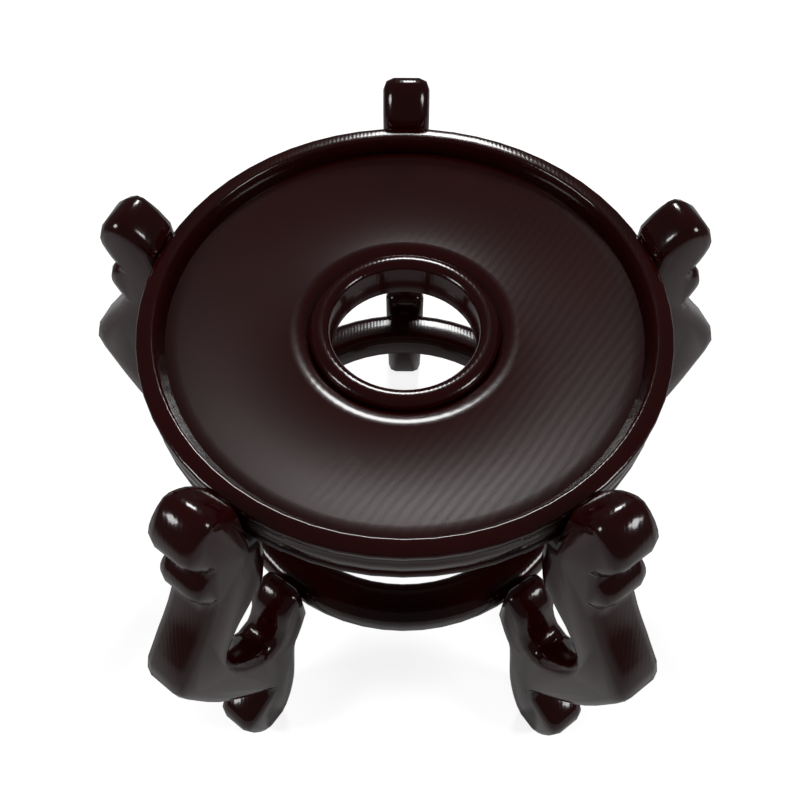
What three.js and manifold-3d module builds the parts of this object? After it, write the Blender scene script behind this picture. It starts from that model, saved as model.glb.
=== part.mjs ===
// Fishbowl stand: a dished round tray with a centre collar, carried by five
// scrolled legs that are tied together below by a stretcher ring.
// Millimetres, +Z up. The floor is z = 0 and the tray's axis stands upright.
import * as THREE from 'three';
import { mergeVertices } from 'three/addons/utils/BufferGeometryUtils.js';
import Module from 'manifold-3d';

const wasm = await Module();
wasm.setup();

// Driving sizes of the whole stand
const rimRadius = 140;
const rimTop = 300;
const glueGap = 0.3;
const roundSteps = 60;

// Rim moulding
const rimHeight = 28;
const lipRadius = 130.5;
const wallFoot = 127;
const rimTopWidth = 6.5;
const rabbetRadius = 133;
const grooveDepth = 2.4;
const beadHeight = 7;

// Dished panel
const wallDepth = 9.5;
const dishDepth = 19.5;
const panelDrop = 38.5;
const panelEdge = 17;

// Centre collar
const holeRadius = 41;
const sleeveWall = 5.5;
const collarRadius = 52;
const collarRise = 3.4;
const collarSeat = 4;

// Stretcher ring
const ringRadius = 107;
const ringWidth = 27;
const ringDepth = 23;
const ringHeight = 132;
const ringRounding = 8;

// Legs
const legCount = 5;
const legTurn = 90;
const legThick = 28.5;
const legRounding = 6.5;
const roundingSteps = 2;
const outlineSteps = 2;
const shoulderReach = 6.5;
const headRise = 20;
const noseReach = 34;
const knobReach = 38.5;
const kneeReach = 71;
const kneeDrop = 98;
const ankleReach = 28;
const ankleHeight = 62;
const toeReach = 56;
const footHeel = 22;
const footToe = 44;
const hornRise = 14;
const waistDrop = 52;

// Dowels
const dowelRadius = 4;
const dowelLength = 24;
const dowelSides = 12;
const upperDowelDrop = 18;

const ringOuter = ringRadius + ringWidth / 2;
const hornFace = ringOuter + glueGap;
const headFace = rimRadius + glueGap;
const shoulderTop = rimTop - rimHeight - glueGap;

const lacquer = { color: 0x2c0404, roughness: 0.14, metalness: 0 };

function toManifold(geometry) {
  const plain = geometry.clone();
  plain.deleteAttribute('normal');
  plain.deleteAttribute('uv');
  const merged = mergeVertices(plain, 1e-4);
  const mesh = new wasm.Mesh({
    numProp: 3,
    vertProperties: new Float32Array(merged.attributes.position.array),
    triVerts: new Uint32Array(merged.index.array),
  });
  return new wasm.Manifold(mesh);
}

function toGeometry(solid) {
  const mesh = solid.getMesh();
  const geometry = new THREE.BufferGeometry();
  geometry.setAttribute('position', new THREE.BufferAttribute(mesh.vertProperties, 3));
  geometry.setIndex(new THREE.BufferAttribute(mesh.triVerts, 1));
  geometry.computeVertexNormals();
  return geometry;
}

function named(name, geometry) {
  const mesh = new THREE.Mesh(geometry, new THREE.MeshStandardMaterial(lacquer));
  mesh.name = name;
  return mesh;
}

// Turns a closed (radius, height) outline about the Z axis
function turned(points) {
  const ordered = THREE.ShapeUtils.isClockWise(points) ? [...points].reverse() : points;
  const closed = [...ordered, ordered[0].clone()];
  const geometry = new THREE.LatheGeometry(closed, roundSteps);
  geometry.rotateX(Math.PI / 2);
  return geometry;
}

function v(radius, height) {
  return new THREE.Vector2(radius, height);
}

// A quarter arc from one direction to another, in degrees, about a centre
function arc(centre, radius, from, to, steps) {
  const points = [];
  for (let i = 0; i <= steps; i += 1) {
    const a = THREE.MathUtils.degToRad(from + (to - from) * i / steps);
    points.push(v(centre.x + radius * Math.cos(a), centre.y + radius * Math.sin(a)));
  }
  return points;
}

// The rod for a dowel or its hole, lying along the radius between two radii
function radialRod(from, to, height, radius) {
  const rod = new THREE.CylinderGeometry(radius, radius, to - from, dowelSides);
  rod.rotateZ(Math.PI / 2);
  rod.translate((from + to) / 2, 0, height);
  return rod;
}

function legAngle(index) {
  return THREE.MathUtils.degToRad(legTurn + index * 360 / legCount);
}

// Cuts one hole for each leg into a turned piece
function drilled(solid, from, to, height) {
  let result = solid;
  for (let i = 0; i < legCount; i += 1) {
    const hole = radialRod(from, to, height, dowelRadius + glueGap);
    hole.rotateZ(legAngle(i));
    result = result.subtract(toManifold(hole));
  }
  return result;
}

// Rim moulding: flat top, cove, and a bulging skirt over a small bead
function makeRim() {
  const bottom = rimTop - rimHeight;
  const seat = rimTop - wallDepth;
  const skirtMid = (bottom + beadHeight + rimTop - rimTopWidth) / 2;
  const skirtRadius = (rimTop - rimTopWidth - bottom - beadHeight) / 2;
  const outline = [
    ...arc(v(rimRadius - 2, rimTop - 2), 2, 90, 0, 3),
    v(rimRadius, rimTop - 4),
    v(rimRadius - grooveDepth, rimTop - rimTopWidth),
    v(rimRadius - grooveDepth + skirtRadius * 0.3, skirtMid + skirtRadius * 0.5),
    v(rimRadius - grooveDepth + skirtRadius * 0.3, skirtMid - skirtRadius * 0.5),
    v(rimRadius - grooveDepth, bottom + beadHeight),
    ...arc(v(rimRadius - beadHeight / 2, bottom + beadHeight / 2), beadHeight / 2, 60, -90, 4),
    v(rabbetRadius, bottom),
    v(rabbetRadius, seat),
    v(wallFoot, seat),
    ...arc(v(lipRadius + 1.5, rimTop - 1.5), 1.5, 180, 90, 3),
  ];
  const solid = toManifold(turned(outline));
  const height = rimTop - upperDowelDrop;
  return named('tray_rim', toGeometry(drilled(solid, rimRadius - 6, rimRadius + 20, height)));
}

// Dished panel, held in the rim's rabbet, with a seat for the collar
function makePanel() {
  const edge = rabbetRadius - glueGap;
  const bore = holeRadius + sleeveWall + glueGap;
  const top = rimTop - wallDepth - glueGap;
  const dish = rimTop - dishDepth;
  const outline = [v(edge, top)];
  const steps = 10;
  const inner = collarRadius + collarSeat;
  for (let i = 0; i <= steps; i += 1) {
    const t = i / steps;
    const radius = wallFoot + (inner - wallFoot) * t;
    outline.push(v(radius, top + (dish - top) * Math.sin(t * Math.PI / 2)));
  }
  outline.push(v(collarRadius + glueGap, dish - collarSeat));
  outline.push(v(bore, dish - collarSeat));
  outline.push(v(bore, rimTop - panelDrop));
  outline.push(v(wallFoot * 0.72, rimTop - panelDrop));
  outline.push(v(edge - 8, top - panelEdge));
  outline.push(v(edge, top - panelEdge));
  return named('tray_panel', turned(outline));
}

// Collar: a rounded ring on the panel with a sleeve that lines the hole
function makeCollar() {
  const dish = rimTop - dishDepth;
  const width = collarRadius - holeRadius;
  const crown = width / 2;
  const mid = holeRadius + crown;
  const base = dish - collarSeat + glueGap;
  const outline = [
    v(holeRadius, rimTop - panelDrop),
    v(holeRadius + sleeveWall, rimTop - panelDrop),
    v(holeRadius + sleeveWall, base),
    v(collarRadius, base),
  ];
  const steps = 8;
  for (let i = 0; i <= steps; i += 1) {
    const a = Math.PI * i / steps;
    outline.push(v(mid + crown * Math.cos(a), dish + collarRise * Math.sin(a)));
  }
  return named('centre_collar', turned(outline));
}

// Stretcher ring: a round hoop of rounded square section
function makeRing() {
  const w = ringWidth / 2 - ringRounding;
  const h = ringDepth / 2 - ringRounding;
  const outline = [
    ...arc(v(ringRadius + w, ringHeight + h), ringRounding, 90, 0, 4),
    ...arc(v(ringRadius + w, ringHeight - h), ringRounding, 0, -90, 4),
    ...arc(v(ringRadius - w, ringHeight - h), ringRounding, 270, 180, 4),
    ...arc(v(ringRadius - w, ringHeight + h), ringRounding, 180, 90, 4),
  ];
  const solid = toManifold(turned(outline));
  return named('stretcher_ring', toGeometry(drilled(solid, ringOuter - dowelLength / 2, ringOuter + 20, ringHeight)));
}

// The sawn outline of a leg, in radius and height
function legShape() {
  const r = rimRadius;
  const top = rimTop;
  const knee = v(r + kneeReach, top - kneeDrop);
  const hornTop = ringHeight + ringDepth / 2 + hornRise;
  const hornFoot = ringHeight - ringDepth / 2 - 3;
  const shape = new THREE.Shape();
  shape.moveTo(headFace - shoulderReach, shoulderTop);
  shape.lineTo(headFace, shoulderTop);
  shape.lineTo(headFace, top + 3);
  shape.splineThru([
    v(r + 7, top + headRise * 0.65),
    v(r + 17, top + headRise),
    v(r + noseReach - 6, top + headRise * 0.72),
    v(r + noseReach, top + 4),
    v(r + noseReach - 2, top - 9),
    v(r + noseReach - 6, top - 18),
  ]);
  shape.splineThru([
    v(r + knobReach - 3, top - 23),
    v(r + knobReach, top - 32),
    v(r + knobReach - 2, top - 41),
    v(r + knobReach - 4, top - 46),
  ]);
  shape.splineThru([
    v(r + (knobReach + kneeReach) / 2 - 10, top - 62),
    v(r + kneeReach - 13, top - 78),
    knee,
    v(r + kneeReach - 4, top - kneeDrop - 30),
    v(r + kneeReach - 14, top - kneeDrop - 69),
    v(r + ankleReach + 13, ankleHeight + 30),
    v(r + ankleReach, ankleHeight),
  ]);
  shape.splineThru([
    v(r + ankleReach + 12, ankleHeight - 5),
    v(r + toeReach - 4, ankleHeight - 10),
    v(r + toeReach, ankleHeight - 26),
    v(r + footToe + 4, 6),
    v(r + footToe - 4, 0),
  ]);
  shape.lineTo(r + footHeel + 4, 0);
  shape.splineThru([
    v(r + footHeel - 6, 10),
    v(r + 7, 34),
    v(r + 2, 57),
    v(r - 4, 91),
    v(hornFace + 8, hornFoot - 16),
    v(hornFace, hornFoot),
  ]);
  shape.lineTo(hornFace, hornTop - 4);
  shape.splineThru([
    v(hornFace + 7, hornTop),
    v(r + 1, hornTop - 9),
    v(r + 6, hornTop - 25),
    v(r + 15, hornTop - 34),
    v(r + 26, hornTop - 22),
    v(r + 36, hornTop),
    v(r + 37, top - kneeDrop - 19),
    v(r + 26, top - kneeDrop - 1),
    v(r + 8, top - kneeDrop + 13),
    v(r, top - kneeDrop + 22),
    v(headFace - shoulderReach, top - waistDrop),
  ]);
  return shape.getPoints(outlineSteps);
}

// Moves an outline's points inwards along the outline's own normals
function inset(points, amount) {
  const n = points.length;
  return points.map((p, i) => {
    const before = points[(i + n - 1) % n];
    const after = points[(i + 1) % n];
    const first = p.clone().sub(before).normalize();
    const second = after.clone().sub(p).normalize();
    const along = first.add(second).normalize();
    return v(p.x + along.y * amount, p.y - along.x * amount);
  });
}

// A plank with rounded edges: one ring of points for each step of the rounding
function plank(outline, thick, rounding, steps) {
  const clockwise = THREE.ShapeUtils.isClockWise(outline);
  const points = clockwise ? outline : [...outline].reverse();
  const n = points.length;
  const rings = [];
  for (const side of [-1, 1]) {
    for (let k = 0; k <= steps; k += 1) {
      const turn = (side < 0 ? steps - k : k) / steps * Math.PI / 2;
      const y = side * (thick / 2 - rounding + rounding * Math.sin(turn));
      rings.push({ y, ring: inset(points, rounding * (1 - Math.cos(turn))) });
    }
  }
  const position = rings.flatMap(({ y, ring }) => ring.flatMap((p) => [p.x, y, p.y]));
  const index = [];
  for (let k = 0; k < rings.length - 1; k += 1) {
    for (let i = 0; i < n; i += 1) {
      const a = k * n + i;
      const b = k * n + (i + 1) % n;
      index.push(a, b, a + n, b, b + n, a + n);
    }
  }
  const last = (rings.length - 1) * n;
  for (const [a, b, c] of THREE.ShapeUtils.triangulateShape([...points], [])) {
    index.push(a, b, c);
    index.push(last + a, last + c, last + b);
  }
  const geometry = new THREE.BufferGeometry();
  geometry.setAttribute('position', new THREE.Float32BufferAttribute(position, 3));
  geometry.setIndex(index);
  return geometry;
}

function makeLeg(index) {
  const geometry = plank(legShape(), legThick, legRounding, roundingSteps);
  let solid = toManifold(geometry);
  const clear = dowelRadius + glueGap;
  const upper = radialRod(rimRadius - 20, rimRadius + dowelLength / 2, rimTop - upperDowelDrop, clear);
  const lower = radialRod(ringOuter - 20, ringOuter + dowelLength / 2, ringHeight, clear);
  solid = solid.subtract(toManifold(upper)).subtract(toManifold(lower));
  const leg = named('leg_' + (index + 1), toGeometry(solid));
  leg.rotation.z = legAngle(index);
  return leg;
}

function makeDowel(name, index, from, to, height) {
  const dowel = named(name, radialRod(from + glueGap, to - glueGap, height, dowelRadius));
  dowel.rotation.z = legAngle(index);
  return dowel;
}

const stand = new THREE.Group();
stand.name = 'fishbowl_stand';
stand.add(makeRim());
stand.add(makePanel());
stand.add(makeCollar());
stand.add(makeRing());
for (let i = 0; i < legCount; i += 1) {
  stand.add(makeLeg(i));
  const half = dowelLength / 2;
  const high = rimTop - upperDowelDrop;
  stand.add(makeDowel('rim_dowel_' + (i + 1), i, rimRadius - 6, rimRadius + half, high));
  stand.add(makeDowel('ring_dowel_' + (i + 1), i, ringOuter - half, ringOuter + half, ringHeight));
}

// The origin is the middle of the stand's footprint, so the tray's axis is off it
const reach = new THREE.Box3().setFromObject(stand, true).getCenter(new THREE.Vector3());
stand.position.set(-reach.x, -reach.y, 0);
stand.updateMatrixWorld(true);

export default stand;
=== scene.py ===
# %% [markdown]
# A fishbowl stand in oxblood lacquer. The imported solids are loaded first, and each
# one that shows gets a smooth copy that stands for it. The pieces could instead be
# modelled afresh with finer curves. A copy is quicker and keeps the solid's size, so
# what is seen and what collides are the same object, but it keeps its facets too.

# %% Load the frame
import bpy
from math import radians
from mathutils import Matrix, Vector


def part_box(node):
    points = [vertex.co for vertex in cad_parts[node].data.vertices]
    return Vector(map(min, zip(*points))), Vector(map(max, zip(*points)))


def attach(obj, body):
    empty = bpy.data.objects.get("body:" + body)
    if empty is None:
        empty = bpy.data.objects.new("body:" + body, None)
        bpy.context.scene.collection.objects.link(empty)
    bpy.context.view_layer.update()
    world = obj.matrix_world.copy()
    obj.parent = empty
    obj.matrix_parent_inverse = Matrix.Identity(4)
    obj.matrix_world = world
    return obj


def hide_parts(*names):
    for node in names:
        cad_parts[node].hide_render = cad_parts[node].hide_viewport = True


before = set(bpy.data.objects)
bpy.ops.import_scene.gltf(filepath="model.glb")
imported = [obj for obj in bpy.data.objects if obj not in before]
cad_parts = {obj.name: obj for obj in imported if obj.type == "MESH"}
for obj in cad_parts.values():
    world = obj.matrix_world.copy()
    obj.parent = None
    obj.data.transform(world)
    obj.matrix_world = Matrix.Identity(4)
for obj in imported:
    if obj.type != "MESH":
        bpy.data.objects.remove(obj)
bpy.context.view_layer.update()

# %% [markdown]
# The tray's radius, axis and height are read off the loaded rim. The camera and the
# lamps' aim follow from them.

# %% Places taken from the solids
rim_low, rim_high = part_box("tray_rim")
RIM_RADIUS = (rim_high[0] - rim_low[0]) / 2
AXIS = Vector(((rim_low[0] + rim_high[0]) / 2, (rim_low[1] + rim_high[1]) / 2, 0))
RIM_TOP = rim_high[2]
print("rim radius", round(RIM_RADIUS, 4), "top", round(RIM_TOP, 4))


# %% [markdown]
# A solid from CAD comes as loose flat triangles. Merging the copy's vertices and
# shading it smooth up to an angle gives the turned and rounded faces their gloss
# highlight, while the crisp steps of the mouldings stay crisp.

# %% Smooth copies of the solids
SMOOTH_ANGLE = radians(38)
MERGE = 0.00001


def dressed(solid, name):
    """Makes the smooth copy that stands for one CAD node."""
    bpy.ops.object.select_all(action="DESELECT")
    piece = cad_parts[solid].copy()
    piece.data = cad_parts[solid].data.copy()
    piece.name = name
    for key in [k for k in piece.keys() if k.startswith("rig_")]:
        del piece[key]
    piece.parent = None
    bpy.context.collection.objects.link(piece)
    bpy.context.view_layer.objects.active = piece
    piece.select_set(True)
    bpy.ops.object.mode_set(mode="EDIT")
    bpy.ops.mesh.select_all(action="SELECT")
    bpy.ops.mesh.remove_doubles(threshold=MERGE)
    bpy.ops.object.mode_set(mode="OBJECT")
    bpy.ops.object.shade_smooth_by_angle(angle=SMOOTH_ANGLE)
    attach(piece, "root")
    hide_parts(solid)
    print(name, len(piece.data.polygons), "faces")
    return piece


# %% [markdown]
# Lacquer is a thick clear coat over stained wood. The stain is nearly black red, the
# clear coat has an IOR near 1.5 and a polish that mirrors lamps sharply, and the
# grain telegraphs through as very shallow lines a few millimetres apart.

# %% Helpers for materials
def linear(code):
    """Turns an sRGB hex colour into linear values."""
    parts = [int(code[i:i + 2], 16) / 255 for i in (0, 2, 4)]
    return [c / 12.92 if c <= 0.04045 else ((c + 0.055) / 1.055) ** 2.4 for c in parts] + [1]


def node(tree, kind, settings=None, links=None):
    """Adds a node, sets its properties and sockets, and links its inputs."""
    made = tree.nodes.new(kind)
    for key, value in (settings or {}).items():
        if isinstance(key, str) and hasattr(made, key):
            setattr(made, key, value)
        else:
            made.inputs[key].default_value = value
    for key, source in (links or {}).items():
        tree.links.new(source, made.inputs[key])
    return made


# %% Lacquer
WAVE_PERIOD_MM = 314
GRAIN_DRIFT = 3.5
STAIN_CLOUD = 24
LACQUER_IOR = 1.5
COAT = 0.3
COAT_ROUGHNESS = 0.06


def lacquer(name, turn, line_mm, stain, deep, roughness, relief):
    """Stained wood under gloss lacquer, with grain lines turned by an Euler angle."""
    made = bpy.data.materials.new(name)
    made.use_nodes = True
    tree = made.node_tree
    tree.nodes.clear()
    place = node(tree, "ShaderNodeTexCoord")
    mapped = node(tree, "ShaderNodeMapping", {"Rotation": turn},
                  {"Vector": place.outputs["Object"]})
    # one wave every line_mm: a wave texture's period is 314 mm at scale 1
    waves = node(tree, "ShaderNodeTexWave", {
        "Scale": WAVE_PERIOD_MM / line_mm, "Distortion": GRAIN_DRIFT,
        "Detail": 3, "Detail Scale": 0.4,
    }, {"Vector": mapped.outputs["Vector"]})
    cloud = node(tree, "ShaderNodeTexNoise", {"Scale": STAIN_CLOUD, "Detail": 4},
                 {"Vector": mapped.outputs["Vector"]})
    mix = node(tree, "ShaderNodeMix", {"data_type": "RGBA"}, {"Factor": cloud.outputs["Fac"]})
    mix.inputs[6].default_value = linear(deep)
    mix.inputs[7].default_value = linear(stain)
    bump = node(tree, "ShaderNodeBump", {"Strength": 1, "Distance": relief},
                {"Height": waves.outputs["Fac"]})
    skin = node(tree, "ShaderNodeBsdfPrincipled", {
        "Roughness": roughness, "IOR": LACQUER_IOR,
        "Coat Weight": COAT, "Coat Roughness": COAT_ROUGHNESS,
    }, {"Base Color": mix.outputs[2], "Normal": bump.outputs["Normal"]})
    node(tree, "ShaderNodeOutputMaterial", None, {"Surface": skin.outputs["BSDF"]})
    print(name, "grain every", line_mm, "mm")
    return made


GRAIN_MM = 2.4
PANEL_GRAIN_MM = 5
lacquer_legs = lacquer("lacquered_wood_upright_grain", (0, 0, 0), GRAIN_MM,
                       "380304", "280202", 0.16, 0.00002)
lacquer_panel = lacquer("lacquered_wood_board_grain", (0, 0, radians(35)), PANEL_GRAIN_MM,
                        "380304", "2C0202", 0.2, 0.000012)
bare_beech = lacquer("beech_dowel", (0, radians(90), 0), GRAIN_MM,
                     "C9A36B", "B98F58", 0.6, 0.00003)


def finish_with(piece, material):
    """Gives a piece its one material."""
    piece.data.materials.clear()
    piece.data.materials.append(material)


# %% Dress every piece
LEGS = 5
for name in ["tray_rim", "centre_collar", "stretcher_ring"]:
    finish_with(dressed(name, "lacquered_" + name), lacquer_legs)
finish_with(dressed("tray_panel", "lacquered_tray_panel"), lacquer_panel)
for i in range(LEGS):
    leg = dressed(f"leg_{i + 1}", f"lacquered_leg_{i + 1}")
    finish_with(leg, lacquer_legs)
    for kind in ["rim", "ring"]:
        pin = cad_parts[f"{kind}_dowel_{i + 1}"]
        pin.data.materials.clear()
        pin.data.materials.append(bare_beech)

# %% [markdown]
# The photograph looks down steeply from the front. Its camera follows from how the
# tray's concentric circles shrink towards the back, in units of the rim's radius.

# %% Camera
FOCAL_PX = 822.4
IMAGE_PX = 800
SENSOR_MM = 36
BACK_OFF = 1.952
HEIGHT_UP = 2.415
PITCH = 57.65
YAW = 0.523
lens = bpy.data.cameras.new("camera")
lens.sensor_width = SENSOR_MM
lens.lens = SENSOR_MM * FOCAL_PX / IMAGE_PX
lens.clip_start = 0.01
camera = bpy.data.objects.new("camera", lens)
bpy.context.collection.objects.link(camera)
camera.location = AXIS + Vector((0, -BACK_OFF * RIM_RADIUS, RIM_TOP + HEIGHT_UP * RIM_RADIUS))
camera.rotation_euler = (radians(90 - PITCH), 0, radians(YAW))
bpy.context.scene.camera = camera
print("camera at", [round(c, 4) for c in camera.location])

# %% [markdown]
# The floor is pale paper that takes the stand's shadow. To the camera alone it also
# glows a little, which lifts it to the white of a catalogue picture without adding
# any light to the stand.

# %% Floor
FLOOR_SIZE = 8
FLOOR_DROP = 0.0005
FLOOR_GLOW = 0.8
bpy.ops.object.select_all(action="DESELECT")
bpy.ops.mesh.primitive_plane_add(size=FLOOR_SIZE, location=(0, 0, -FLOOR_DROP))
floor = bpy.context.object
floor.name = "floor"
paper = bpy.data.materials.new("pale_paper")
paper.use_nodes = True
tree = paper.node_tree
tree.nodes.clear()
rays = node(tree, "ShaderNodeLightPath")
matt = node(tree, "ShaderNodeBsdfDiffuse", {"Color": linear("E8E8E8")})
white = node(tree, "ShaderNodeEmission", {"Color": (1, 1, 1, 1), "Strength": FLOOR_GLOW})
both = node(tree, "ShaderNodeAddShader")
tree.links.new(matt.outputs[0], both.inputs[0])
tree.links.new(white.outputs[0], both.inputs[1])
choice = node(tree, "ShaderNodeMixShader", None, {0: rays.outputs["Is Camera Ray"]})
tree.links.new(matt.outputs[0], choice.inputs[1])
tree.links.new(both.outputs[0], choice.inputs[2])
node(tree, "ShaderNodeOutputMaterial", None, {"Surface": choice.outputs[0]})
floor.data.materials.append(paper)
print("floor", FLOOR_SIZE, "m across")


# %% [markdown]
# Gloss lacquer is dark where it mirrors a dark room and white where it mirrors a
# lamp. So there are three small area lamps, one behind and one on each side, and a
# dim world. A bright world would mirror all over the tray and turn it grey. The
# camera alone sees the world as white.

# %% Lights
def lamp(name, place, size, watts):
    """An area lamp that faces the tray."""
    data = bpy.data.lights.new(name, "AREA")
    data.size = size
    data.energy = watts
    made = bpy.data.objects.new(name, data)
    bpy.context.collection.objects.link(made)
    made.location = place
    aim = AXIS + Vector((0, 0, RIM_TOP)) - made.location
    made.rotation_euler = aim.to_track_quat("-Z", "Y").to_euler()
    print(name, watts, "W")


lamp("back_lamp", Vector((0.05, 0.95, 1.0)), 0.25, 4)
lamp("left_lamp", Vector((-1.2, -0.4, 1.1)), 0.4, 5)
lamp("right_lamp", Vector((1.2, -0.4, 1.1)), 0.4, 5)

# %% World
ROOM_LIGHT = 0.06
world = bpy.data.worlds.new("studio")
bpy.context.scene.world = world
world.use_nodes = True
sky = world.node_tree
sky.nodes.clear()
sight = node(sky, "ShaderNodeLightPath")
dim = node(sky, "ShaderNodeBackground", {"Color": (1, 1, 1, 1), "Strength": ROOM_LIGHT})
plain = node(sky, "ShaderNodeBackground", {"Color": (1, 1, 1, 1), "Strength": 1})
seen = node(sky, "ShaderNodeMixShader", None, {0: sight.outputs["Is Camera Ray"]})
sky.links.new(dim.outputs[0], seen.inputs[1])
sky.links.new(plain.outputs[0], seen.inputs[2])
node(sky, "ShaderNodeOutputWorld", None, {"Surface": seen.outputs[0]})
bpy.context.scene.view_settings.view_transform = "Standard"
print("room light", ROOM_LIGHT)
